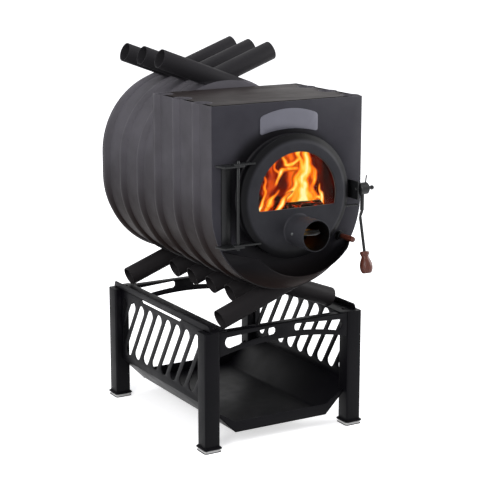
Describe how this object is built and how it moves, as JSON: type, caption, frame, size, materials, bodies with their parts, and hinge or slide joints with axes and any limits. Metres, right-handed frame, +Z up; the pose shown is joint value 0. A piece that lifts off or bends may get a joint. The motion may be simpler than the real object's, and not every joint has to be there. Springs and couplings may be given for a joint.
{
  "type": "wood cookstove",
  "caption": "Round-bellied wood cookstove walled with bent air tubes, flat cook top, round glazed door and lever latch, on a legged stand with a log tray.",
  "frame": {"origin": "on the floor under the middle of the whole object", "axes": "+Z up, the door faces -Y, +X to the right of a person facing the door"},
  "size_m": [0.56, 1.0074, 1.1569],
  "materials": {
    "wall_steel": "warm dark grey heat-proof paint, satin",
    "plate_steel": "dark grey heat-proof paint, satin",
    "cook_top_steel": "brownish grey heat-proof paint, satin",
    "cast_parts": "black cast iron and bar, matt",
    "bare_plate": "light grey metal, left blank",
    "handle_wood": "turned reddish-brown wood, oiled",
    "window_glass": "clear heat-proof glass",
    "seal_rope": "dark glass-fibre rope",
    "stand_steel": "black powder coat, satin"
  },
  "bodies": {
    "stove": {"tube_right_1": "wall_steel", "tube_right_2": "wall_steel", "tube_right_3": "wall_steel", "tube_right_4": "wall_steel", "tube_right_5": "wall_steel", "tube_right_6": "wall_steel", "tube_left_1": "wall_steel", "tube_left_2": "wall_steel", "tube_left_3": "wall_steel", "tube_left_4": "wall_steel", "tube_left_5": "wall_steel", "tube_left_6": "wall_steel", "casing_right_front": "wall_steel", "casing_left_front": "wall_steel", "casing_right_rear": "wall_steel", "casing_left_rear": "wall_steel", "divider_plate": "wall_steel", "front_plate": "plate_steel", "door_collar": "plate_steel", "rear_plate": "plate_steel", "flue_spigot": "plate_steel", "ash_lip": "plate_steel", "cook_top": "cook_top_steel", "grate": "cast_parts", "baffle_plate": "cast_parts", "hinge_bracket": "cast_parts", "hinge_rod": "cast_parts", "latch_bracket": "cast_parts", "latch_pin": "cast_parts", "air_slide_guide": "cast_parts", "arched_plate": "bare_plate", "leg_front_left": "stand_steel", "leg_rear_left": "stand_steel", "leg_front_right": "stand_steel", "leg_rear_right": "stand_steel", "rail_left": "stand_steel", "rail_right": "stand_steel", "apron_front": "stand_steel", "apron_rear": "stand_steel", "side_panel_left": "stand_steel", "side_panel_right": "stand_steel", "log_tray": "stand_steel"},
    "door": {"door_pan": "plate_steel", "door_seal": "seal_rope", "window_gasket": "seal_rope", "window_glass": "window_glass", "window_retainer": "plate_steel", "air_tube": "plate_steel", "door_lug_upper": "cast_parts", "door_lug_lower": "cast_parts", "door_tongue": "cast_parts"},
    "air_flap": {"air_flap": "cast_parts"},
    "latch": {"latch_lever": "cast_parts", "latch_handle": "handle_wood"},
    "air_slide": {"air_slide_rod": "cast_parts", "air_slide_pull": "handle_wood"},
    "flue_damper": {"flue_damper": "cast_parts"}
  },
  "joints": [
    {"name": "door_hinge", "type": "hinge", "parent": "stove", "child": "door", "pos_m": [-0.19, -0.3857, 0.75686], "axis": [0, 0, -1], "range_deg": [0, 110]},
    {"name": "latch_lever_hinge", "type": "hinge", "parent": "stove", "child": "latch", "pos_m": [0.23, -0.3967, 0.75986], "axis": [-1, 0, 0], "range_deg": [0, 100]},
    {"name": "air_flap_hinge", "type": "hinge", "parent": "door", "child": "air_flap", "pos_m": [0, -0.4467, 0.66086], "axis": [1, 0, 0], "range_deg": [0, 90]},
    {"name": "air_slide_pull_out", "type": "slide", "parent": "stove", "child": "air_slide", "axis": [0, -1, 0], "range_m": [0, 0.009]},
    {"name": "flue_damper_hinge", "type": "hinge", "parent": "stove", "child": "flue_damper", "pos_m": [0, 0.4437, 0.96286], "axis": [1, 0, 0], "range_deg": [0, 90]}
  ]
}
